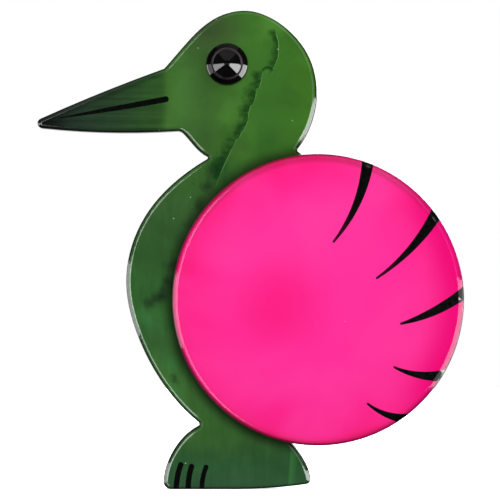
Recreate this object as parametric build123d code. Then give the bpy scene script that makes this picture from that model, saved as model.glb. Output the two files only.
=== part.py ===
"""A flat bird brooch, in millimetres.

A pearly resin plate is cut to the bird's outline. A pink resin disc, the wing, is glued over its body,
and a black stone, the eye, is glued into a shallow seat in its head. Brush-shaped grooves in the plate
and the disc are filled flush with black lacquer. On the back, a stamped bar carries a hinged pin stem
and a catch whose roller turns to lock.

The frame: the origin lies on the axis of the closed pin stem, which is what goes through the cloth. +X
runs along the stem from its hinge to its point, +Z is the bird's up, and the bird's face looks along
-Y. A place in the bird's plane is (x, z), and "depth" is the distance from the stem's axis towards the
front, along -Y.
"""

from build123d import *
import math
import os

# ---- Driving dimensions ------------------------------------------------------------------------------

# Layers, from the back to the front
PLATE_T = 3.4            # resin plate
PLATE_FRONT_ROUND = 0.75
PLATE_BACK_EDGE = 0.3
WING_GLUE_T = 0.1
WING_RIM_T = 3.1         # disc thickness at its rim
WING_T = 3.6             # disc thickness at its middle, which is gently domed
BAR_GLUE_T = 0.12
EYE_GLUE_T = 0.1
GROOVE = 0.35            # depth of every lacquered groove
BRUSH_TIP_R = 0.18       # where the cutter of a feather line enters

# Wing disc
WING_CENTRE = (4.6, -12.9)
WING_R = 24.2
WING_FRONT_ROUND = 1.0
WING_BACK_ROUND = 0.3
WING_GLUE_R = 20.3
BACK_R = 21.5            # the bird's back, hidden behind the disc and cut this much smaller
SEAM_AT_DEG = 165.0      # the disc's seam, kept away from its grooves

# Eye stone
EYE_CENTRE = (-10.5, 26.3)
EYE_R = 3.45
EYE_GIRDLE_T = 1.0       # height of its straight side
EYE_RIDGE = (0.74 * EYE_R, 1.66)    # radius and height of the low ridge between its bevel and its cone
EYE_VALLEY = (0.68 * EYE_R, 1.56)   # where the cone starts
EYE_TIP = (0.12 * EYE_R, 2.58)      # where the cone turns into its round tip
EYE_SEAT_DEPTH = 0.6
EYE_SEAT_PLAY = 0.05

# Brooch fitting
STEM_R = 0.45
STEM_STANDOFF = 2.2      # stem axis to the bar's rear face
STEM_TAPER_X = 10.2      # where the stem starts to taper
STEM_TIP_X = 16.6
STEM_TIP_R = 0.08
BAR_T = 0.7
BAR_L = 34.0
BAR_W = 4.6
BAR_EDGE = 0.15
BAR_HOLE_R = 0.8         # holes that the glue rises through
BAR_HOLES_X = (-6.0, 6.0)
STAKE_R = 0.6            # the bracket's and the housing's stakes, peened into the bar

HINGE_X = -14.6
HINGE_RIVET_R = 0.5
HINGE_PLAY = 0.04        # radial, between the rivet and the stem's eye
EYELET_R = 1.25
EYELET_T = 1.0
EAR_R = 1.5
EAR_T = 0.45
EAR_PLAY = 0.08          # each side of the eyelet
EAR_EDGE = 0.1
BRACKET_BASE_T = 0.4
BRACKET_BEND_R = 0.35
BRACKET_BACK_GAP = 1.4   # hinge axis to the bracket's back wall
BRACKET_BACK_TOP = 1.35  # how far behind the hinge axis that wall reaches, which is what stops the open stem
RIVET_HEAD_R = 0.85
RIVET_HEAD_T = 0.3

CATCH_X = 13.3           # middle of the catch
CATCH_W = 3.4
SHELL_OUT_R = 2.1
SHELL_IN_R = 1.6
SHELL_SLOT_HALF = 0.75
SHELL_EDGE = 0.15
SHELL_FOOT_W = 3.8
SHELL_FOOT_T = 0.4
SHELL_FOOT_CORNER_R = 0.4
WINDOW_HALF = 0.95       # half width, along X, of the window that the lever moves in
WINDOW_END_DEG = 126.0
ROLLER_PLAY = 0.05
ROLLER_BORE_R = 0.6
ROLLER_SLOT_HALF = 0.62
ROLLER_EDGE = 0.1
LEVER_AT_DEG = 38.0      # from +Y towards +Z, with the catch open
LEVER_HALF = 0.8
LEVER_T = 0.5
LEVER_REACH = 3.4

# ---- Depths worked out from those --------------------------------------------------------------------

BAR_REAR = STEM_STANDOFF
BAR_FRONT = BAR_REAR + BAR_T
PLATE_BACK = BAR_FRONT + BAR_GLUE_T
PLATE_FRONT = PLATE_BACK + PLATE_T
WING_BACK = PLATE_FRONT + WING_GLUE_T
EYE_SEAT = PLATE_FRONT - EYE_SEAT_DEPTH
EYE_BACK = EYE_SEAT + EYE_GLUE_T
WELL_CLEAR = 6.0         # an amount that a cutting tool runs past what it cuts

FRONT_DIR = (0, -1, 0)


# ---- Helpers -----------------------------------------------------------------------------------------

def facing_front(depth, centre=(0, 0)):
    """The plane across the bird at a depth, whose own x, y and z are the brooch's +X, +Z and -Y."""
    return Plane(origin=(centre[0], -depth, centre[1]), x_dir=(1, 0, 0), z_dir=FRONT_DIR)


def layer(face, depth, thickness):
    """A face drawn in (x, z) becomes a slab that starts at a depth and grows towards the front."""
    return extrude(facing_front(depth) * face, thickness, dir=FRONT_DIR)


def turned(profile, centre, depth):
    """A face drawn as (radius, height) is turned round the line through centre that points to the front."""
    return facing_front(depth, centre) * revolve(Plane.XZ * profile, Axis.Z)


def near(vertices, point):
    """The vertex of a flat face that is nearest to a point."""
    return min(vertices, key=lambda v: math.dist((v.X, v.Y), point))


def brush_mark(tip, left, right, tip_r=BRUSH_TIP_R):
    """A tapering mark with a round tip. Its left and right edges are given by their middle and far points."""
    (left_middle, left_end), (right_middle, right_end) = left, right
    run = left_middle[0] + right_middle[0] - 2 * tip[0]
    rise = left_middle[1] + right_middle[1] - 2 * tip[1]
    heading = math.atan2(rise, run)

    def round_tip(quarter_turns):
        a = heading + quarter_turns * math.pi / 2
        return (tip[0] + tip_r * math.cos(a), tip[1] + tip_r * math.sin(a))

    return make_face(Curve() + [
        ThreePointArc(round_tip(1), left_middle, left_end),
        Line(left_end, right_end),
        ThreePointArc(right_end, right_middle, round_tip(-1)),
        ThreePointArc(round_tip(-1), round_tip(2), round_tip(1)),
    ])


# ---- The bird's outline ------------------------------------------------------------------------------

BEAK_TIP = (-44.4, 16.0)     # before its corner is rounded
BROW = (-21.0, 25.6)
NAPE = (1.1, 12.0)
RUMP = (-1.2, -35.0)
HEEL = (3.5, -43.65)
TOE = (-21.1, -44.6)
WAIST = (-14.75, -33.83)
THROAT = (-13.42, 10.75)
CHIN = (-18.3, 15.2)
SOLE_BEND = (-9.0, -44.6)

# Where each corner of the outline is, and its radius
CORNERS = {
    BEAK_TIP: 0.85, BROW: 0.6, NAPE: 0.4, RUMP: 0.5, HEEL: 0.9, TOE: 1.3, WAIST: 0.45, THROAT: 0.25,
    CHIN: 1.2,
}


def on_back(degrees):
    """A point on the round back that the wing hides."""
    a = math.radians(degrees)
    return (WING_CENTRE[0] + BACK_R * math.cos(a), WING_CENTRE[1] + BACK_R * math.sin(a))


def bird_outline():
    """The bird, drawn clockwise from the tip of its beak."""
    back_top, back_low = 70.0, -78.0
    leaving_nape = (1.0, -0.8)
    onto_back = (math.sin(math.radians(back_top)), -math.cos(math.radians(back_top)))
    edges = [
        ThreePointArc(BEAK_TIP, (-32.0, 21.4), BROW),
        Spline(BROW, (-16.8, 30.4), (-13.0, 33.7), (-7.7, 35.33), (-0.6, 32.4), (3.5, 27.0), (4.5, 21.0),
               (3.0, 15.0), NAPE),
        Spline(NAPE, (5.0, 9.4), on_back(back_top), tangents=(leaving_nape, onto_back)),
        ThreePointArc(on_back(back_top), on_back((back_top + back_low) / 2), on_back(back_low)),
        ThreePointArc(on_back(back_low), (3.9, -34.6), RUMP),
        Spline(RUMP, (1.5, -38.33), (3.1, -41.3), HEEL),
        ThreePointArc(HEEL, (-2.5, -44.34), SOLE_BEND),
        Line(SOLE_BEND, TOE),
        Spline(TOE, (-20.9, -41.6), (-19.2, -37.7), (-16.9, -35.1), WAIST),
        Spline(WAIST, (-18.0, -30.9), (-22.67, -24.67), (-25.7, -18.2), (-27.33, -10.5), (-26.5, -4.2),
               (-23.5, 2.0), (-18.6, 7.2), THROAT),
        Spline(THROAT, (-15.67, 12.33), (-16.83, 13.67), CHIN),
        ThreePointArc(CHIN, (-31.5, 14.95), BEAK_TIP),
    ]
    face = make_face(Curve() + edges)
    for corner, radius in CORNERS.items():
        face = fillet(near(face.vertices(), corner), radius)
    return face


# ---- Front pieces ------------------------------------------------------------------------------------

def plain_plate():
    """The plate without its seat and grooves. Its front edge is rounded and its back edge is chamfered."""
    slab = layer(bird_outline(), PLATE_BACK, PLATE_T)
    front = slab.edges().group_by(Axis.Y)[0]
    slab = fillet(front, PLATE_FRONT_ROUND)
    back = slab.edges().group_by(Axis.Y)[-1]
    return chamfer(back, PLATE_BACK_EDGE)


def plain_wing(inset=0.0):
    """The domed disc, or with an inset the core that lies that far under its front and its rim."""
    rise = WING_T - WING_RIM_T
    sphere_r = (WING_R ** 2 + rise ** 2) / (2 * rise)
    # The sphere lies on its side, so that neither of its poles is on the dome
    sphere = Pos(0, 0, WING_T - sphere_r) * Rot(90, 0, 0) * Sphere(sphere_r - inset)
    disc = Cylinder(WING_R - inset, WING_T, align=(Align.CENTER, Align.CENTER, Align.MIN)) & sphere

    disc = fillet(rims(disc)[-1], WING_FRONT_ROUND - inset)
    if not inset:
        disc = fillet(rims(disc)[0], WING_BACK_ROUND)
    return facing_front(WING_BACK, WING_CENTRE) * Rot(0, 0, SEAM_AT_DEG) * disc


def rims(disc):
    """A disc's round edges, from the back to the front."""
    return disc.edges().filter_by(GeomType.CIRCLE).sort_by(Axis.Z)


def beak_marks():
    """The line between the two halves of the beak, with a round end by the cheek."""
    upper, lower = [(-29.3, 19.3), (-20.8, 20.94)], [(-29.3, 18.5), (-20.6, 19.96)]
    mark = brush_mark((-38.4, 17.35), upper, lower, tip_r=0.08)
    round_end = Pos(-20.7, 20.45) * Circle(0.5)
    return {"beak_line": mark + round_end}


def toe_marks():
    """Three short bent lines, which run off the bottom of the foot."""
    paths = [
        ((-18.2, -40.45), (-18.75, -42.4), (-18.95, -45.4)),
        ((-16.4, -40.75), (-16.85, -42.6), (-16.9, -45.4)),
        ((-14.0, -40.85), (-14.52, -42.6), (-14.65, -45.4)),
    ]
    widths = (0.92, 0.92, 0.8)
    marks = zip(paths, widths)
    return {f"toe_line_{i}": SlotArc(ThreePointArc(*path), width) for i, (path, width) in enumerate(marks, 1)}


def feather_marks():
    """Five tapering lines, which run over the wing's rim. Each is its tip, its left and its right edge."""
    shapes = [
        ((7.15, -3.3), [(10.5, 3.5), (11.9, 11.0)], [(11.4, 2.5), (13.95, 10.8)]),
        ((14.3, -9.3), [(19.5, -4.05), (24.3, 4.2)], [(20.15, -5.0), (26.0, 2.3)]),
        ((18.3, -16.85), [(23.0, -14.45), (29.6, -9.9)], [(24.0, -15.45), (30.2, -11.8)]),
        ((17.2, -24.05), [(21.8, -24.8), (27.0, -24.0)], [(20.8, -25.8), (25.6, -26.4)]),
        ((12.8, -30.1), [(15.7, -31.33), (20.4, -31.6)], [(15.0, -31.95), (19.0, -33.4)]),
    ]
    return {f"feather_line_{i}": brush_mark(*shape) for i, shape in enumerate(shapes, 1)}


def inlays(base, core, marks, depth):
    """Each mark's lacquer is the base's skin inside it. Returns the grooved base and each mark's lacquer."""
    skin = base - core
    fills = {name: skin & layer(mark, depth, WELL_CLEAR) for name, mark in marks.items()}
    for fill in fills.values():
        base = base - fill
    return base, fills


def front_pieces():
    plate = plain_plate()
    flat_core = Pos(0, GROOVE, 0) * plate
    foot_core = Pos(0, GROOVE, GROOVE) * plate
    plate, beak = inlays(plate, flat_core, beak_marks(), PLATE_BACK + PLATE_T / 2)
    plate, toes = inlays(plate, foot_core, toe_marks(), PLATE_BACK + PLATE_T / 2)

    seat_r = EYE_R + EYE_SEAT_PLAY
    seat = Cylinder(seat_r, WELL_CLEAR, align=(Align.CENTER, Align.CENTER, Align.MIN))
    plate = plate - facing_front(EYE_SEAT, EYE_CENTRE) * seat

    wing = plain_wing()
    wing, feathers = inlays(wing, plain_wing(GROOVE), feather_marks(), WING_BACK + WING_RIM_T / 3)

    disc = (Align.CENTER, Align.CENTER, Align.MIN)
    wing_glue = facing_front(PLATE_FRONT, WING_CENTRE) * Cylinder(WING_GLUE_R, WING_GLUE_T, align=disc)
    eye_glue = facing_front(EYE_SEAT, EYE_CENTRE) * Cylinder(EYE_R - 0.15, EYE_GLUE_T, align=disc)
    return {
        "body_plate": plate, "wing_disc": wing, "wing_adhesive": wing_glue, "eye_adhesive": eye_glue,
        "eye_stone": eye_stone(), **beak, **toes, **feathers,
    }


def eye_stone():
    """A turned stone: a flat back, a girdle, a bevel, a low ridge and a shallow cone with a round tip."""
    tip_r, cone_top = EYE_TIP
    slope = math.atan2(cone_top - EYE_VALLEY[1], EYE_VALLEY[0] - tip_r)
    ball_r = tip_r / math.sin(slope)
    ball_at = cone_top - ball_r * math.cos(slope)

    def on_ball(angle):
        return (ball_r * math.sin(angle), ball_at + ball_r * math.cos(angle))

    shoulder = (EYE_R, EYE_GIRDLE_T)
    profile = make_face(Curve() + [
        Polyline(on_ball(0), (0, 0), (EYE_R, 0), shoulder, EYE_RIDGE, EYE_VALLEY, EYE_TIP),
        ThreePointArc(EYE_TIP, on_ball(slope / 2), on_ball(0)),
    ])
    for corner, radius in ((shoulder, 0.25), (EYE_RIDGE, 0.12), (EYE_VALLEY, 0.06)):
        profile = fillet(near(profile.vertices(), corner), radius)
    return turned(profile, EYE_CENTRE, EYE_BACK)


# ---- Brooch fitting ----------------------------------------------------------------------------------

def rod(radius, low, high, centre, axis):
    """A cylinder from low to high along X or Z. The centre of its axis is given as the other two places."""
    bar = Cylinder(radius, high - low, align=(Align.CENTER, Align.CENTER, Align.MIN))
    if axis == "X":
        return Plane(origin=(low, *centre), z_dir=(1, 0, 0)) * bar
    return Pos(*centre, low) * bar


def block(x, y, z):
    """A box given by its low and high ends along X, Y and Z."""
    size = [high - low for low, high in (x, y, z)]
    middle = [(high + low) / 2 for low, high in (x, y, z)]
    return Pos(*middle) * Box(*size)


def panel(x, y):
    """A flat rectangle given by its low and high ends along X and Y."""
    return Pos((x[0] + x[1]) / 2, (y[0] + y[1]) / 2) * Rectangle(x[1] - x[0], y[1] - y[0])


def stake(x):
    """The peened stake that holds a fitting in its hole in the bar."""
    pin = Cylinder(STAKE_R, BAR_T, align=(Align.CENTER, Align.CENTER, Align.MIN))
    return facing_front(BAR_REAR, (x, 0)) * pin


def pin_bar():
    """A stamped strip with round ends, two glue holes and a staking hole under each fitting."""
    strip = layer(SlotOverall(BAR_L, BAR_W), BAR_REAR, BAR_T)
    strip = chamfer(strip.edges().group_by(Axis.Y)[-1], BAR_EDGE)
    for x in BAR_HOLES_X:
        hole = Cylinder(BAR_HOLE_R, 2 * WELL_CLEAR)
        strip = strip - facing_front(BAR_REAR, (x, 0)) * hole
    return strip - stake(HINGE_X) - stake(CATCH_X)


def bar_adhesive():
    """A film under the bar, with a domed plug of glue that rises through each of its holes."""
    margin, plug_rise = 0.5, 0.2
    film = layer(SlotOverall(BAR_L - 2 * margin, BAR_W - 2 * margin), BAR_FRONT, BAR_GLUE_T)
    for x in BAR_HOLES_X:
        plug = Cylinder(BAR_HOLE_R, BAR_T + plug_rise, align=(Align.CENTER, Align.CENTER, Align.MIN))
        plug = fillet(plug.edges().group_by(Axis.Z)[0], plug_rise)
        film = film + facing_front(BAR_REAR - plug_rise, (x, 0)) * plug
    return film


def joint_bracket():
    """The hinge's U: a base staked to the bar, two ears with holes and a back wall that stops the stem."""
    inner, outer = EYELET_T / 2 + EAR_PLAY, EYELET_T / 2 + EAR_PLAY + EAR_T
    rear, back = HINGE_X - BRACKET_BACK_GAP - BRACKET_BASE_T, HINGE_X - BRACKET_BACK_GAP
    front, low, base_top = HINGE_X + EAR_R, -BAR_REAR, -BAR_REAR + BRACKET_BASE_T
    strip = panel((rear, front), (low, base_top)) + panel((rear, back), (low, BRACKET_BACK_TOP))
    cheek = panel((rear, front), (low, 0)) + panel((rear, HINGE_X), (low, BRACKET_BACK_TOP))
    cheek += Pos(HINGE_X, 0) * Circle(EAR_R)
    strip, cheek = [fillet(near(face.vertices(), (rear, low)), BRACKET_BEND_R) for face in (strip, cheek)]
    bracket = extrude(Pos(0, 0, -inner) * strip, 2 * inner)
    for side in (-1, 1):
        ear = extrude(Pos(0, 0, min(side * inner, side * outer)) * cheek, EAR_T)
        outside = ear.edges().group_by(Axis.Z)[-1 if side > 0 else 0]
        bracket += chamfer(outside, EAR_EDGE)
    bracket += stake(HINGE_X)
    return bracket - rod(HINGE_RIVET_R, -outer, outer, (HINGE_X, 0), "Z")


def joint_rivet():
    """The hinge's axle, with a low domed head outside each ear."""
    grip = EYELET_T / 2 + EAR_PLAY + EAR_T
    rivet = rod(HINGE_RIVET_R, -grip, grip, (HINGE_X, 0), "Z")
    for side in (-1, 1):
        low, high = sorted((side * grip, side * (grip + RIVET_HEAD_T)))
        head = rod(RIVET_HEAD_R, low, high, (HINGE_X, 0), "Z")
        outer_edge = head.edges().group_by(Axis.Z)[-1 if side > 0 else 0]
        rivet += fillet(outer_edge, RIVET_HEAD_T * 0.8)
    return rivet


def pin_stem():
    """The wire: a flat eyelet on the hinge, a short tang, a round shank and a long tapered point."""
    tang_end = 2.3
    eyelet = rod(EYELET_R, -EYELET_T / 2, EYELET_T / 2, (HINGE_X, 0), "Z")
    tang_profile = make_face(Polyline(
        (HINGE_X, 0), (HINGE_X, EYELET_T / 2), (HINGE_X + tang_end * 0.7, EYELET_T / 2),
        (HINGE_X + tang_end, STEM_R), (HINGE_X + tang_end, 0), close=True,
    ))
    shank_profile = make_face(Polyline(
        (HINGE_X + tang_end, 0), (HINGE_X + tang_end, STEM_R), (STEM_TAPER_X, STEM_R),
        (STEM_TIP_X, STEM_TIP_R),
        (STEM_TIP_X + STEM_TIP_R, 0), close=True,
    ))
    stem = eyelet + revolve(tang_profile, Axis.X) + revolve(shank_profile, Axis.X)
    bore_r = HINGE_RIVET_R + HINGE_PLAY
    return stem - rod(bore_r, -EYELET_T, EYELET_T, (HINGE_X, 0), "Z")


def wedge(radius, start_deg, end_deg, half_width):
    """A slice of cylinder round the catch's axis, from one angle to another, measured from +Y towards +Z."""
    step = (end_deg - start_deg) / 8
    rays = [math.radians(start_deg + step * i) for i in range(9)]
    outline = [(0, 0)] + [(radius * math.cos(a), radius * math.sin(a)) for a in rays]
    face = Plane.YZ * make_face(Polyline(*outline, close=True))
    return Pos(CATCH_X, 0, 0) * extrude(face, half_width, both=True)


def softened_rod(radius, low, high, edge):
    """A cylinder on the catch's axis, from low to high along X, with both its ends chamfered."""
    bar = rod(radius, low, high, (0, 0), "X")
    return chamfer(bar.edges().filter_by(GeomType.CIRCLE), edge)


def catch_housing():
    """The fixed C: a ring on a foot, with a slot for the stem and a window for the lever across it."""
    low, high = CATCH_X - CATCH_W / 2, CATCH_X + CATCH_W / 2
    foot_half, foot_top = SHELL_FOOT_W / 2, -BAR_REAR + SHELL_FOOT_T
    neck_half = SHELL_IN_R * 0.8
    foot = block((low, high), (-BAR_REAR, foot_top), (-foot_half, foot_half))
    foot = fillet(foot.edges().filter_by(Axis.Y), SHELL_FOOT_CORNER_R)
    shell = softened_rod(SHELL_OUT_R, low, high, SHELL_EDGE) + foot
    shell += block((low, high), (-BAR_REAR, -SHELL_IN_R), (-neck_half, neck_half))
    shell -= rod(SHELL_IN_R, low - 1, high + 1, (0, 0), "X")
    shell -= block((low - 1, high + 1), (0, WELL_CLEAR), (-SHELL_SLOT_HALF, SHELL_SLOT_HALF))
    shell -= wedge(WELL_CLEAR, 0, WINDOW_END_DEG, WINDOW_HALF)
    return shell + stake(CATCH_X)


def catch_roller():
    """The turning C inside the housing, with the lever that a fingernail pushes."""
    low, high = CATCH_X - CATCH_W / 2, CATCH_X + CATCH_W / 2
    roller = softened_rod(SHELL_IN_R - ROLLER_PLAY, low, high, ROLLER_EDGE)
    lever = Box(2 * LEVER_HALF, LEVER_REACH, LEVER_T, align=(Align.CENTER, Align.MIN, Align.CENTER))
    lever = fillet(lever.edges().filter_by(Axis.Z).group_by(Axis.Y)[-1], LEVER_HALF * 0.6)
    rims = lever.edges().group_by(Axis.Z)
    lever = chamfer(rims[0] + rims[-1], ROLLER_EDGE)
    roller += Pos(CATCH_X, 0, 0) * Rot(LEVER_AT_DEG, 0, 0) * lever
    roller -= rod(ROLLER_BORE_R, low - 1, high + 1, (0, 0), "X")
    return roller - block((low - 1, high + 1), (0, WELL_CLEAR), (-ROLLER_SLOT_HALF, ROLLER_SLOT_HALF))


def fitting_pieces():
    return {
        "pin_bar": pin_bar(), "bar_adhesive": bar_adhesive(), "joint_bracket": joint_bracket(),
        "joint_rivet": joint_rivet(), "pin_stem": pin_stem(), "catch_housing": catch_housing(),
        "catch_roller": catch_roller(),
    }


# ---- Write the parts ---------------------------------------------------------------------------------

os.makedirs("parts", exist_ok=True)
for name, piece in {**front_pieces(), **fitting_pieces()}.items():
    export_step(piece, f"parts/{name}.step")
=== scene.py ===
"""The looks of a layered resin bird brooch, in metres, in the CAD part's frame.

The bird faces -Y with its beak towards -X and +Z up. Distances in the materials are millimetres, because
every pattern starts from Object coordinates that are scaled up first.
"""

import math

import bpy
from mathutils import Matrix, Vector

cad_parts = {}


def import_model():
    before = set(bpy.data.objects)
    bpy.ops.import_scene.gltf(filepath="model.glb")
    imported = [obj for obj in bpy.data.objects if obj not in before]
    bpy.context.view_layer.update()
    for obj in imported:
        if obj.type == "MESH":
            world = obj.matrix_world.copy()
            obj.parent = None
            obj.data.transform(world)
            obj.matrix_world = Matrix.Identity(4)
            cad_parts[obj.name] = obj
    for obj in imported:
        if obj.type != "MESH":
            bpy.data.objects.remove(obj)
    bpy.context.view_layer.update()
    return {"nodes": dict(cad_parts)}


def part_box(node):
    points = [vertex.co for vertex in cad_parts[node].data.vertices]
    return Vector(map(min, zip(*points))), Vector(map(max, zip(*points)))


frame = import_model()
NODES = frame["nodes"]

MM = 0.001
FRONT = (0, -1, 0)


# ---- Places, read from the frame ---------------------------------------------------------------------

PLATE_LOW, PLATE_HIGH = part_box("body_plate")
WING_LOW, WING_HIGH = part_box("wing_disc")
EYE_LOW, EYE_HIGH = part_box("eye_stone")

# In millimetres, for the materials
PLATE_FRONT = PLATE_LOW.y / MM
PLATE_BACK = PLATE_HIGH.y / MM
WING_AT = (WING_LOW + WING_HIGH) / 2 / MM
WING_R = (WING_HIGH.x - WING_LOW.x) / 2 / MM
EYE_AT = (EYE_LOW + EYE_HIGH) / 2 / MM


# ---- Small helpers -----------------------------------------------------------------------------------

def shown(red, green, blue):
    """The linear colour that a screen shows as these 0 to 255 values."""
    def linear(value):
        share = value / 255
        return share / 12.92 if share <= 0.04045 else ((share + 0.055) / 1.055) ** 2.4

    return (linear(red), linear(green), linear(blue), 1.0)


class Tree:
    """A material's node tree, with one short call for each kind of node that these materials use."""

    def __init__(self, name):
        self.material = bpy.data.materials.new(name)
        self.material.use_nodes = True
        self.tree = self.material.node_tree
        self.shader = self.tree.nodes["Principled BSDF"]
        self.coords = self.add("ShaderNodeTexCoord")
        self.place = self.scaled(self.coords.outputs["Object"], (1 / MM, 1 / MM, 1 / MM))
        self.x, self.y, self.z = self.split(self.place)

    def add(self, kind):
        return self.tree.nodes.new(kind)

    def put(self, value, socket):
        """A node's output or a plain value goes into a socket."""
        if isinstance(value, bpy.types.NodeSocket):
            self.tree.links.new(value, socket)
        else:
            socket.default_value = value

    def set(self, **values):
        """Shader sockets by name, with underscores for spaces."""
        for name, value in values.items():
            self.put(value, self.shader.inputs[name.replace("_", " ")])

    # Numbers

    def math(self, operation, a, b=0.0, clamp=False):
        node = self.add("ShaderNodeMath")
        node.operation = operation
        node.use_clamp = clamp
        self.put(a, node.inputs[0])
        self.put(b, node.inputs[1])
        return node.outputs[0]

    def product(self, *factors):
        """Factors from 0 to 1 multiplied together. Each is a node's output or a number."""
        total = factors[0]
        for factor in factors[1:]:
            total = self.math("MULTIPLY", total, factor, clamp=True)
        return total

    def mapped(self, value, start, end, low, high, interpolation):
        node = self.add("ShaderNodeMapRange")
        node.interpolation_type = interpolation
        self.put(value, node.inputs["Value"])
        for name, number in (("From Min", start), ("From Max", end), ("To Min", low), ("To Max", high)):
            node.inputs[name].default_value = number
        return node.outputs["Result"]

    def fade(self, value, start, end, low=0.0, high=1.0):
        """low where value is at start, turning smoothly to high where it is at end."""
        return self.mapped(value, start, end, low, high, "SMOOTHSTEP")

    def slope(self, value, start, end, low=0.0, high=1.0):
        """low where value is at start, turning evenly to high where it is at end."""
        return self.mapped(value, start, end, low, high, "LINEAR")

    # Places

    def vector(self, operation, a, b=(0, 0, 0), amount=1.0):
        node = self.add("ShaderNodeVectorMath")
        node.operation = operation
        self.put(a, node.inputs[0])
        if operation == "SCALE":
            self.put(amount, node.inputs["Scale"])
        else:
            self.put(b, node.inputs[1])
        return node.outputs["Value"] if operation in ("DISTANCE", "DOT_PRODUCT") else node.outputs["Vector"]

    def scaled(self, vector, scale, shift=(0, 0, 0)):
        node = self.add("ShaderNodeMapping")
        self.put(vector, node.inputs["Vector"])
        node.inputs["Scale"].default_value = scale
        node.inputs["Location"].default_value = shift
        return node.outputs["Vector"]

    def split(self, vector):
        node = self.add("ShaderNodeSeparateXYZ")
        self.put(vector, node.inputs[0])
        return node.outputs

    def away_from(self, x, z, where=None):
        """The distance from (x, z) as seen from the front. where is a warped place, if one is given."""
        start = self.place if where is None else where
        return self.vector("DISTANCE", self.vector("MULTIPLY", start, (1, 0, 1)), (x, 0, z))

    def blob(self, x, z, inner, outer, where=None):
        """1 within inner millimetres of (x, z), fading to 0 at outer."""
        return self.fade(self.away_from(x, z, where), inner, outer, 1.0, 0.0)

    def facing(self, direction):
        """The cosine between the surface and a direction in the object's own frame."""
        return self.vector("DOT_PRODUCT", self.coords.outputs["Normal"], direction)

    def square_on(self):
        """1 on faces that look straight to the front or the back, down to 0 on the sides."""
        return self.math("ABSOLUTE", self.facing(FRONT))

    def shine(self, flat, rounded):
        """A specular level: flat on the faces to the front and the back, rounded on the edges."""
        return self.fade(self.square_on(), 0.9985, 0.993, flat, rounded)

    # Patterns

    def noise_node(self, scale, shift=(0, 0, 0), detail=3.0, rough=0.5, distortion=0.0):
        node = self.add("ShaderNodeTexNoise")
        self.put(self.scaled(self.place, scale, shift), node.inputs["Vector"])
        node.inputs["Scale"].default_value = 1.0
        node.inputs["Detail"].default_value = detail
        node.inputs["Roughness"].default_value = rough
        node.inputs["Distortion"].default_value = distortion
        return node

    def noise(self, scale, shift=(0, 0, 0), **values):
        """Cloudy noise from 0 to 1. Its scale is in cycles a millimetre, one for all the axes or three."""
        scales = scale if isinstance(scale, tuple) else (scale, scale, scale)
        return self.noise_node(scales, shift, **values).outputs["Fac"]

    def warped(self, amount, scale):
        """The place, pushed about by up to amount millimetres by noise of that scale."""
        push = self.noise_node((scale, scale, scale), detail=2.0).outputs["Color"]
        centred = self.vector("SUBTRACT", push, (0.5, 0.5, 0.5))
        return self.vector("ADD", self.place, self.vector("SCALE", centred, amount=2 * amount))

    def specks(self, spacing, radius, seed=0.0):
        """1 in small round specks of that radius, about spacing millimetres apart."""
        node = self.add("ShaderNodeTexVoronoi")
        scale = 1 / spacing
        self.put(self.scaled(self.place, (scale, scale, scale), (seed, seed, seed)), node.inputs["Vector"])
        node.inputs["Scale"].default_value = 1.0
        return self.fade(node.outputs["Distance"], radius / spacing * 0.6, radius / spacing, 1.0, 0.0)

    def bump(self, height, depth_mm, strength=1.0):
        node = self.add("ShaderNodeBump")
        node.inputs["Strength"].default_value = strength
        node.inputs["Distance"].default_value = depth_mm * MM
        self.put(height, node.inputs["Height"])
        return node.outputs["Normal"]

    # Colours

    def mix(self, factor, a, b, blend="MIX"):
        node = self.add("ShaderNodeMix")
        node.data_type = "RGBA"
        node.blend_type = blend
        self.put(factor, node.inputs[0])
        self.put(a, node.inputs[6])
        self.put(b, node.inputs[7])
        return node.outputs[2]

    def ramp(self, value, stops):
        """A colour for a value: stops are (value, colour), in rising order."""
        start, end = stops[0][0], stops[-1][0]
        node = self.add("ShaderNodeValToRGB")
        self.put(self.slope(value, start, end), node.inputs[0])
        elements = node.color_ramp.elements
        while len(elements) < len(stops):
            elements.new(0.5)
        for element, (at, colour) in zip(elements, stops):
            element.position = (at - start) / (end - start)
            element.color = colour
        return node.outputs["Color"]

    def tinted(self, colour, noise, low, high, factor=1.0):
        """The colour is multiplied by low where the noise is low, and by high where it is high."""
        tint = self.ramp(noise, [(0.28, (*low, 1)), (0.72, (*high, 1))])
        return self.mix(factor, colour, tint, "MULTIPLY")


# ---- Green pearl -------------------------------------------------------------------------------------

# The pearl's colours along the head by x, and down the body by z
HEAD_COLOURS = [
    (-42, shown(10, 12, 11)), (-39, shown(23, 28, 23)), (-36, shown(34, 49, 39)), (-30, shown(40, 64, 41)),
    (-25, shown(42, 74, 38)), (-21.4, shown(48, 86, 38)), (-20.4, shown(61, 103, 44)),
    (-18, shown(62, 106, 47)), (-14, shown(55, 92, 41)), (-8, shown(60, 108, 40)), (-3, shown(58, 107, 38)),
    (4, shown(60, 108, 34)),
]
BODY_COLOURS = [
    (-44, shown(50, 87, 56)), (-40, shown(45, 87, 49)), (-36, shown(56, 98, 46)), (-27, shown(58, 102, 48)),
    (-18, shown(52, 96, 48)), (-12, shown(45, 89, 41)), (-5, shown(48, 87, 43)), (2, shown(54, 91, 46)),
    (7, shown(54, 96, 42)),
]
NECK_Z = (4.0, 12.0)     # where the body's colours turn into the head's

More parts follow.
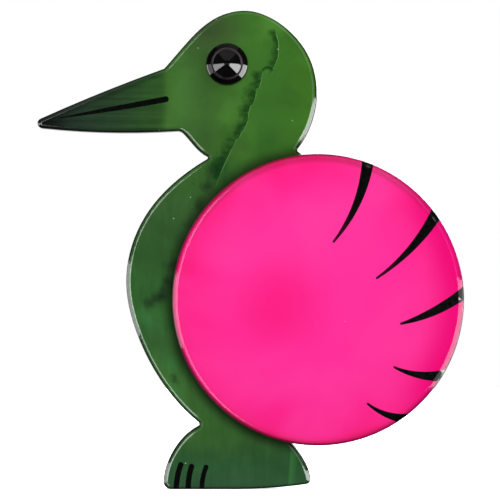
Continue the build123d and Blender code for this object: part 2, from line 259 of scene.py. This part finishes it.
# Patches in the pearl, by colour: x, z, radius and strength. The darkest group is painted shade, beside the
# wing's left rim and below the neck fold
PEARL_PATCHES_AND_SHADE = [
    (shown(58, 80, 44), [(-13.0, 32.0, 7.5, 0.9), (-8.5, 12.5, 2.2, 0.3), (-17.5, -22.0, 2.6, 0.35)]),
    (shown(80, 134, 52), [
        (-3.4, 32.6, 3.4, 0.6), (-3.6, 25.0, 1.0, 0.6), (-9.6, 17.8, 3.4, 0.5), (-8.4, 24.0, 2.6, 0.3),
    ]),
    (shown(58, 118, 62), [(-23.8, -16.2, 3.2, 0.55), (-19.8, -23.5, 2.4, 0.5), (-19.2, -28.2, 2.2, 0.5)]),
    (shown(32, 78, 34), [(-11.5, 9.0, 3.6, 0.8), (-4.0, 13.2, 4.5, 0.35), (1.6, -39.5, 2.2, 0.6)]),
    # Painted shade: dark spots where the wing's rim overhangs the plate, and where the neck fold's shadow
    # runs down to it
    (shown(26, 38, 28), [
        (-21.4, -12.2, 2.0, 0.9), (-20.4, -10.0, 2.0, 0.8), (-23.3, -13.6, 1.7, 0.6),
        (-19.4, -7.4, 2.0, 0.6), (-22.4, -13.0, 1.4, 0.5), (-19.4, -26.1, 1.1, 0.6),
        (-12.6, 8.4, 1.5, 0.5), (-13.6, 5.8, 1.9, 0.7), (-15.0, 3.0, 1.9, 0.6), (-17.0, -0.5, 1.6, 0.3),
    ]),
]

# The pearl's two folds, as (z, x): one behind the eye, one down the neck and under the wing
HEAD_FOLD = [
    (32.4, -2.6), (31.3, -2.35), (30.0, -2.0), (28.8, -1.95), (27.4, -2.05), (26.6, -2.4), (25.2, -2.95),
    (23.6, -3.5),
]
NECK_FOLD = [
    (25.5, -4.55), (23.1, -4.95), (22.4, -5.2), (22.3, -5.6), (20.8, -5.8), (19.6, -6.25), (19.4, -6.6),
    (18.0, -7.0), (17.0, -7.0), (16.0, -7.4), (15.2, -7.8), (15.0, -8.1), (14.0, -8.5), (13.8, -8.95),
    (11.8, -9.95), (8.0, -11.7), (5.0, -12.8),
]
FOLD_Z = (5.0, 34.0)     # the box that both folds lie in
FOLD_X = (-14.0, 0.0)

# A small arch joins the folds, as the upper part of a circle
ARCH_AT = (-3.75, 24.9)
ARCH_R = 0.85
ARCH_Z = (25.0, 25.3)

# Bubbles near the surface: x, z
BUBBLES = [
    (-16.6, 4.1), (-19.4, 0.6), (-4.8, -35.1), (-17.4, -40.2), (-15.3, 29.0), (-2.0, 28.8), (0.4, 16.9),
    (-12.3, 33.8),
]
BUBBLE_R = 0.11

INNER_CORNERS = [(-14.6, -33.8), (-13.2, 10.8), (1.3, 11.9)]


def mixed_pearl(t, near_front):
    """The pearl without its folds: soft patches, the darkest of them painted shade, and clouds, veins in
    the body, streaks in the beak.
    """
    head, body = t.ramp(t.x, HEAD_COLOURS), t.ramp(t.z, BODY_COLOURS)
    colour = t.mix(t.fade(t.z, *NECK_Z), body, head)
    where = t.warped(1.4, 0.5)
    for tint, spots in PEARL_PATCHES_AND_SHADE:
        for x, z, radius, strength in spots:
            patch = t.product(t.blob(x, z, 0.0, radius, where), strength, near_front)
            colour = t.mix(patch, colour, tint)

    clouds = t.noise(0.13, detail=4, distortion=0.8)
    colour = t.tinted(colour, clouds, (0.80, 0.80, 0.84), (1.18, 1.18, 1.14))
    veins = t.noise((0.95, 0.95, 0.16), (7, 7, 7), detail=4, distortion=0.5)
    in_body = t.fade(t.z, 12.0, 8.0)
    colour = t.tinted(colour, veins, (0.88, 0.90, 0.88), (1.12, 1.10, 1.12), in_body)

    # The beak is streaked along its length, and painted shade darkens it just below its upper edge
    streaks = t.noise((0.035, 0.2, 1.1), detail=4, rough=0.65)
    in_beak = t.product(t.fade(t.x, -19.0, -23.0), t.fade(t.z, 12.0, 14.0))
    colour = t.tinted(colour, streaks, (0.62, 0.68, 0.72), (1.34, 1.28, 1.22), in_beak)
    above_edge = t.math("SUBTRACT", t.z, t.slope(t.x, -42, -18, 16.8, 26.5))
    return t.mix(t.product(t.fade(above_edge, -1.3, -0.2), in_beak, 0.5), colour, shown(18, 28, 20))


def left_of_fold(t, points):
    """How far, in millimetres, a point lies to the left of a fold's line."""
    curve = t.add("ShaderNodeFloatCurve")
    t.put(t.slope(t.z, *FOLD_Z), curve.inputs["Value"])
    line = curve.mapping.curves[0].points
    while len(line) < len(points):
        line.new(0.5, 0.5)
    for point, (z, x) in zip(line, sorted(points)):
        along = (z - FOLD_Z[0]) / (FOLD_Z[1] - FOLD_Z[0])
        across = (x - FOLD_X[0]) / (FOLD_X[1] - FOLD_X[0])
        point.location = (along, across)
        point.handle_type = "VECTOR"
    curve.mapping.update()
    return t.math("SUBTRACT", t.slope(curve.outputs["Value"], 0, 1, *FOLD_X), t.x)


def folded(t, colour, points, width, darkness, near_front):
    """A fold: painted crumpled shadow on its left, sharp at the line, and a thin painted highlight as a
    light lip on its right.
    """
    gap = left_of_fold(t, points)
    bottom, top = min(points)[0], max(points)[0]
    along = t.product(t.fade(t.z, bottom, bottom + 3.0), t.fade(t.z, top, top - 0.9), near_front)
    crumple = t.noise((0.4, 0.4, 0.5), detail=3, rough=0.55, distortion=0.3)
    reach = t.math("DIVIDE", gap, t.slope(crumple, 0.3, 0.7, 0.5 * width, 1.3 * width))
    crests = t.fade(t.noise((0.8, 0.8, 1.1), (3, 3, 3), detail=3, distortion=0.5), 0.3, 0.6, 0.5, 1.0)
    crumpled = t.product(t.fade(gap, -0.03, 0.04), t.fade(reach, 0.25, 1.0, 1.0, 0.0), along, crests)
    # Painted shadow on the fold's left side, then a painted highlight along its lip
    colour = t.mix(t.product(crumpled, darkness), colour, shown(13, 48, 18))
    lip = t.product(t.fade(gap, -0.22, -0.05), t.fade(gap, -0.05, 0.02, 1.0, 0.0), along, 0.6)
    broken = t.fade(t.noise(0.6, (5, 5, 5)), 0.32, 0.6)
    return t.mix(t.product(lip, broken), colour, shown(104, 160, 84))


def arched(t, colour, near_front):
    """The thin dark arch between the two folds, painted shade where the fold's shadow curls over."""
    from_arch = t.math("ABSOLUTE", t.math("SUBTRACT", t.away_from(*ARCH_AT), ARCH_R))
    arch = t.product(t.fade(from_arch, 0.35, 0.05), t.fade(t.z, *ARCH_Z), near_front, 0.8)
    return t.mix(arch, colour, shown(16, 56, 22))


def pleated(t, colour, near_front):
    """The pleat in the foot: a sharp line, nearly upright, with a light band on its right."""
    right = t.math("SUBTRACT", t.x, t.slope(t.z, -44, -37, -0.35, 0.15))
    band = t.product(t.fade(right, -0.05, 0.05), t.fade(right, 0.3, 1.7, 1.0, 0.0))
    in_foot = t.product(t.fade(t.z, -36.5, -38.5), near_front)
    return t.mix(t.product(band, in_foot, 0.6), colour, shown(62, 122, 64))


def specked(t, colour, near_front):
    """Bubbles, and finer light and dark specks all over."""
    for x, z in BUBBLES:
        bubble = t.product(t.blob(x, z, 0.6 * BUBBLE_R, BUBBLE_R), near_front)
        colour = t.mix(bubble, colour, shown(170, 205, 160))
    colour = t.mix(t.product(t.specks(5.0, 0.13), 0.7), colour, shown(150, 190, 130))
    return t.mix(t.product(t.specks(7.0, 0.2, 3.3), 0.8), colour, shown(20, 34, 16))


def shaded_pearl(t, colour):
    """Painted shade: less light reaches the pearl under the wing's rim, and the plate's cut edge is painted
    dark, for the shade of the deep resin seen on its rounded edge.
    """
    under_rim = t.fade(t.away_from(WING_AT.x, WING_AT.z), WING_R + 2.4, WING_R - 0.4)
    on_front = t.fade(t.facing(FRONT), 0.0, 0.5)
    colour = t.mix(t.product(under_rim, on_front, 0.85), colour, shown(16, 24, 12))
    # Painted shade on the rounded edge and the side walls
    edge = t.fade(t.square_on(), 0.95, 0.6)
    return t.mix(t.product(edge, 0.95), colour, shown(8, 16, 9))


def green_pearl():
    """Pearly green resin. Its patches, folds and pleat lie in the front half of the plate's thickness."""
    t = Tree("green_pearl")
    near_front = t.fade(t.y, PLATE_FRONT + 1.8, PLATE_FRONT + 0.8)
    colour = mixed_pearl(t, near_front)
    colour = folded(t, colour, HEAD_FOLD, 1.6, 0.8, near_front)
    colour = folded(t, colour, NECK_FOLD, 2.8, 0.82, near_front)
    colour = arched(t, colour, near_front)
    colour = pleated(t, colour, near_front)
    colour = shaded_pearl(t, specked(t, colour, near_front))

    # The edges of the back are only sanded, and the buffing wheel doesn't reach into the inner corners
    polish = t.slope(t.noise(0.9, detail=5), 0.3, 0.7, 0.05, 0.11)
    tilted = t.fade(t.square_on(), 0.995, 0.9)
    sanded = t.product(tilted, t.fade(t.y, PLATE_BACK - 0.9, PLATE_BACK - 0.4), 0.35)
    dull = 0.0
    for x, z in INNER_CORNERS:
        dull = t.math("MAXIMUM", dull, t.blob(x, z, 1.2, 2.2))
    t.set(Base_Color=colour, Roughness=t.math("MAXIMUM", polish, sanded), IOR=1.5)
    t.set(Specular_IOR_Level=t.product(t.shine(0.16, 0.5), t.slope(dull, 0.0, 1.0, 1.0, 0.12)))
    t.set(Normal=t.bump(t.noise(0.1, (9, 9, 9), detail=1), 0.06))
    return t.material


# ---- Pink resin, lacquer, stone and glue -------------------------------------------------------------

# The pink's colours from the middle of the wing to its rim
PINK_COLOURS = [
    (0, shown(255, 48, 155)), (14, shown(255, 47, 152)), (20.5, shown(252, 34, 135)),
    (23.0, shown(246, 30, 124)),
]
PINK_PATCH = (-2.0, -14.0, 1.0, 11.0)    # x, z, inner and outer radius of a redder cloud

# Painted shade: how the pink is darkened at the rim, above and below, and once more above
RIM_SHADE = (0.92, 0.8, 0.72, 1)
UPPER_RIM_SHADE = (0.64, 0.95, 0.66, 1)

# Rings on the eye: where each starts, is full, still is full and ends, as distances from its axis
EYE_RIDGE = (2.28, 2.38, 2.62, 2.74)
EYE_BEVEL = (2.62, 2.72, 3.18, 3.28)
TURNING_LINES = 40.0     # radians of the turning lines' wave in a millimetre


def shaded_pink_edge(t, colour, out):
    """Painted shade on the wing's rounded edge: crimson, darker on the left, near black on the side wall,
    and its rim is redder and darker at the top and the bottom.
    """
    square = t.square_on()
    # Painted shade: the rounded edge turns crimson, darker on the left, and near black on the side wall
    rounded = t.mix(t.fade(t.x, 0.0, 16.0), shown(135, 14, 58), shown(200, 18, 124))
    colour = t.mix(t.product(t.fade(square, 0.98, 0.6), 0.95), colour, rounded)
    colour = t.mix(t.product(t.fade(square, 0.45, 0.15), 0.9), colour, shown(60, 6, 24))
    at_rim = t.fade(out, 22.4, 23.7)
    above = t.math("SUBTRACT", t.z, WING_AT.z)
    ends = t.product(at_rim, t.fade(t.math("ABSOLUTE", above), 12.0, 22.0))
    colour = t.mix(ends, colour, RIM_SHADE, "MULTIPLY")
    top = t.product(at_rim, t.fade(above, 6.0, 18.0))
    return t.mix(top, colour, UPPER_RIM_SHADE, "MULTIPLY")


def hot_pink():
    """Hot-pink resin: even and glossy, and a little redder towards its rim."""
    t = Tree("hot_pink")
    out = t.away_from(WING_AT.x, WING_AT.z)
    colour = t.ramp(out, PINK_COLOURS)
    clouds = t.noise(0.055, detail=2, distortion=0.5)
    colour = t.mix(t.fade(clouds, 0.35, 0.7, 0.0, 0.8), colour, shown(255, 60, 158))
    patch = t.blob(*PINK_PATCH, where=t.warped(2.0, 0.1))
    colour = t.mix(t.product(patch, 0.8), colour, shown(250, 24, 126))
    right = t.product(t.fade(out, 17.0, 23.0), t.fade(t.x, 14.0, 24.0))
    colour = t.mix(t.product(right, 0.9), colour, shown(240, 4, 118))
    colour = t.mix(t.product(t.specks(9.0, 0.14), 0.25), colour, shown(255, 190, 225))
    polish = t.slope(t.noise(0.8, detail=5), 0.3, 0.7, 0.04, 0.08)
    t.set(Base_Color=shaded_pink_edge(t, colour, out), Roughness=polish, IOR=1.5)
    t.set(Specular_IOR_Level=t.shine(0.08, 0.21))
    t.set(Normal=t.bump(t.noise(0.08, (4, 4, 4), detail=1), 0.05))
    return t.material


def black_lacquer(name, thin_colour=None):
    """Black lacquer rubbed into a groove. On the wing it thins to a stain of the pink at each tip."""
    t = Tree(name)
    grain = t.noise(2.2, detail=4, rough=0.7)
    colour = t.ramp(grain, [(0.3, shown(3, 4, 4)), (0.75, shown(15, 17, 15))])
    if thin_colour:
        frayed = t.math("ADD", t.away_from(WING_AT.x, WING_AT.z), t.slope(grain, 0, 1, -1.0, 1.0))
        colour = t.mix(t.product(t.fade(frayed, 16.0, 9.0), 0.7), colour, thin_colour)
    t.set(Base_Color=colour, Roughness=t.slope(grain, 0.3, 0.7, 0.06, 0.16), IOR=1.5)

    # Its skin is wavy, and on the rounded edges it only shines here and there
    waves = t.noise(0.9, (2, 2, 2), detail=2, distortion=0.4)
    broken = t.fade(waves, 0.52, 0.6, 0.06, 1.0)
    t.set(Specular_IOR_Level=t.math("MAXIMUM", t.product(broken, t.shine(0.0, 0.7)), 0.08))
    t.set(Normal=t.bump(waves, 0.02))
    return t.material


def black_stone():
    """Polished black stone with faint turning rings on its cone."""
    t = Tree("black_stone")
    out = t.away_from(EYE_AT.x, EYE_AT.z)
    rings = t.math("SINE", t.math("MULTIPLY", out, TURNING_LINES))
    haze = t.noise(1.2, detail=4)
    colour = t.ramp(haze, [(0.3, shown(3, 3, 3)), (0.7, shown(8, 7, 8))])

    def band(start, full, still, end):
        """1 from full to still, as distances from the axis, and 0 before start and after end."""
        return t.product(t.fade(out, start, full), t.fade(out, end, still))

    # The ridge and the tip are worn dull, and so is the bevel, most of all on the side of the beak
    ridge = band(*EYE_RIDGE)
    bevel = t.product(band(*EYE_BEVEL), t.fade(t.x, EYE_AT.x + 2.0, EYE_AT.x - 2.0, 0.2, 0.75))
    tip = t.fade(out, 0.6, 0.4)
    dull = t.math("MAXIMUM", t.math("MAXIMUM", bevel, tip), t.product(ridge, 0.85))
    rough = t.math("ADD", t.slope(haze, 0.3, 0.7, 0.02, 0.07), t.product(ridge, 0.35))
    # Painted sheen: the dull ridge is painted purple-grey, lighter towards the upper right and dark on the
    # lower left
    up_right = t.math("SUBTRACT", t.math("ADD", t.x, t.z), EYE_AT.x + EYE_AT.z)
    lit = t.fade(up_right, -3.2, 1.5, 0.15, 0.9)
    t.set(Base_Color=t.mix(t.product(ridge, lit), colour, shown(50, 37, 43)), Roughness=rough, IOR=1.55)
    t.set(Specular_IOR_Level=t.slope(dull, 0.0, 1.0, 0.5, 0.03), Normal=t.bump(rings, 0.001, 0.5))
    return t.material


def clear_glue():
    """Set clear glue, a little yellow, with a slightly wavy skin."""
    t = Tree("clear_glue")
    haze = t.noise(1.5)
    t.set(Base_Color=t.ramp(haze, [(0.3, shown(196, 190, 166)), (0.7, shown(222, 218, 200))]))
    t.set(Roughness=t.slope(haze, 0.3, 0.7, 0.12, 0.25), IOR=1.5, Normal=t.bump(haze, 0.08))
    return t.material


# ---- Metal -------------------------------------------------------------------------------------------

def plated_metal(name, colour, worn_colour, along, roughness):
    """Bright plated metal with fine lines along one direction and faint stains."""
    t = Tree(name)
    lines = t.noise(tuple(0.15 if axis == along else 5.0 for axis in "XYZ"), detail=2)
    stains = t.noise(0.5, detail=5, rough=0.6)
    t.set(Metallic=1.0, Base_Color=t.mix(t.fade(stains, 0.45, 0.75), colour, worn_colour))
    drawn = t.slope(lines, 0.3, 0.7, roughness - 0.05, roughness + 0.06)
    t.set(Roughness=t.math("ADD", drawn, t.fade(stains, 0.5, 0.8, 0.0, 0.1)))
    t.set(Normal=t.bump(lines, 0.002, 0.2))
    return t.material


# ---- Dress the CAD nodes -----------------------------------------------------------------------------

NICKEL = shown(205, 202, 196)
NICKEL_WORN = shown(176, 168, 154)
STEEL = shown(196, 198, 202)
STEEL_WORN = shown(150, 150, 152)

TOE_LINES = [f"toe_line_{i}" for i in range(1, 4)]
FEATHER_LINES = [f"feather_line_{i}" for i in range(1, 6)]


def dress(material, *nodes):
    """The CAD nodes get a material in place of their plain one."""
    for name in nodes:
        for entry in NODES[name].material_slots:
            entry.material = material


dress(green_pearl(), "body_plate")
dress(hot_pink(), "wing_disc")
dress(black_lacquer("lacquer_green"), "beak_line", *TOE_LINES)
dress(black_lacquer("lacquer_pink", shown(74, 8, 36)), *FEATHER_LINES)
dress(black_stone(), "eye_stone")
dress(clear_glue(), "wing_adhesive", "eye_adhesive", "bar_adhesive")
nickel_along = plated_metal("nickel_along", NICKEL, NICKEL_WORN, "X", 0.2)
nickel_round = plated_metal("nickel_round", NICKEL, NICKEL_WORN, "Z", 0.16)
dress(nickel_along, "pin_bar", "joint_bracket", "catch_housing")
dress(nickel_round, "joint_rivet", "catch_roller")
dress(plated_metal("drawn_steel", STEEL, STEEL_WORN, "X", 0.13), "pin_stem")


# ---- Studio ------------------------------------------------------------------------------------------

ROOM_LIGHT = 0.3
ROOM_GLOSS = 0.04
FLOOR_R = 0.3
VIEW_WIDTH = 83.33 * MM
VIEW_CENTRE = (-6.67 * MM, PLATE_LOW.y, -4.67 * MM)
LENS_MM = 180
SENSOR_MM = 36


def panel(name, at, size, radiance, target, glossy=True, diffuse=True):
    """A soft rectangular light of a given brightness that looks at a point."""
    light = bpy.data.lights.new(name, "AREA")
    light.shape = "RECTANGLE"
    light.size, light.size_y = size
    light.energy = radiance * 4 * size[0] * size[1]
    thing = bpy.data.objects.new(name, light)
    bpy.context.scene.collection.objects.link(thing)
    thing.location = at
    away = Vector(at) - Vector(target)
    thing.rotation_euler = away.to_track_quat("Z", "Y").to_euler()
    thing.visible_camera = False
    thing.visible_glossy = glossy
    thing.visible_diffuse = diffuse


def world():
    """White where the camera sees past everything, grey for soft light, and dark for reflections."""
    room = bpy.data.worlds.new("room")
    bpy.context.scene.world = room
    room.use_nodes = True
    tree = room.node_tree
    rays = tree.nodes.new("ShaderNodeLightPath")
    seen = tree.nodes["Background"].outputs[0]
    tree.nodes["Background"].inputs["Color"].default_value = (*[ROOM_GLOSS] * 3, 1)
    for ray, brightness in (("Is Diffuse Ray", ROOM_LIGHT), ("Is Camera Ray", 1.0)):
        plain = tree.nodes.new("ShaderNodeBackground")
        plain.inputs["Color"].default_value = (*[brightness] * 3, 1)
        pick = tree.nodes.new("ShaderNodeMixShader")
        tree.links.new(rays.outputs[ray], pick.inputs[0])
        tree.links.new(seen, pick.inputs[1])
        tree.links.new(plain.outputs[0], pick.inputs[2])
        seen = pick.outputs[0]
    tree.links.new(seen, tree.nodes["World Output"].inputs["Surface"])


def floor():
    """A plain white floor under the bird's foot."""
    at = (0, 0, PLATE_LOW.z)
    bpy.ops.mesh.primitive_circle_add(vertices=96, radius=FLOOR_R, fill_type="NGON", location=at)
    ground = bpy.context.object
    ground.name = "floor"
    t = Tree("floor_white")
    tone = t.noise(0.01, detail=2)
    t.set(Base_Color=t.ramp(tone, [(0.3, shown(243, 243, 243)), (0.7, shown(248, 248, 248))]))
    t.set(Roughness=0.9, Specular_IOR_Level=0.0, Emission_Color=(1, 1, 1, 1), Emission_Strength=0.7)
    ground.data.materials.append(t.material)
    ground.visible_diffuse = False
    ground.visible_glossy = False
    ground.visible_shadow = False


def camera():
    """Straight on to the bird's face, far off with a long lens."""
    lens = bpy.data.cameras.new("camera")
    lens.lens = LENS_MM
    lens.sensor_width = SENSOR_MM
    lens.clip_start = 0.01
    distance = VIEW_WIDTH * LENS_MM / SENSOR_MM
    thing = bpy.data.objects.new("camera", lens)
    bpy.context.scene.collection.objects.link(thing)
    thing.location = Vector(VIEW_CENTRE) + Vector((0, -distance, 0))
    thing.rotation_euler = (math.radians(90), 0, 0)
    bpy.context.scene.camera = thing


world()
floor()
camera()

# Most of the lights either only light or only show as highlights
panel("key_front", (-0.1, -1.1, 0.35), (1.0, 1.0), 2.6, (0, 0, 0), glossy=False)
panel("box_left", (-0.30, -0.29, -0.047), (0.82, 0.17), 4.3, (0, -0.29, -0.047), diffuse=False)
panel("box_right", (0.30, -0.57, -0.11), (1.40, 0.26), 8.0, (0, -0.57, -0.11), diffuse=False)
panel("strip_left", (-0.2, -0.45, -0.0625), (0.16, 0.575), 5.0, (0, 0, 0), diffuse=False)
panel("strip_right", (0.2, -0.45, 0.13), (0.12, 0.5), 1.1, (0, 0, 0), diffuse=False)
panel("ceiling", (0, -0.3, 0.6), (0.8, 0.5), 0.2, (0, 0, 0), diffuse=False)
panel("top", (0, 0.1, 0.9), (1.2, 1.2), 3.0, (0, 0, 0), glossy=False)
panel("back", (0.3, 0.9, 0.35), (0.9, 0.6), 5.0, (0, 0, 0))
panel("back_card", (-0.2, 1.0, -0.1), (1.4, 1.0), 0.5, (0, 0, 0), diffuse=False)

bpy.context.scene.view_settings.view_transform = "Standard"
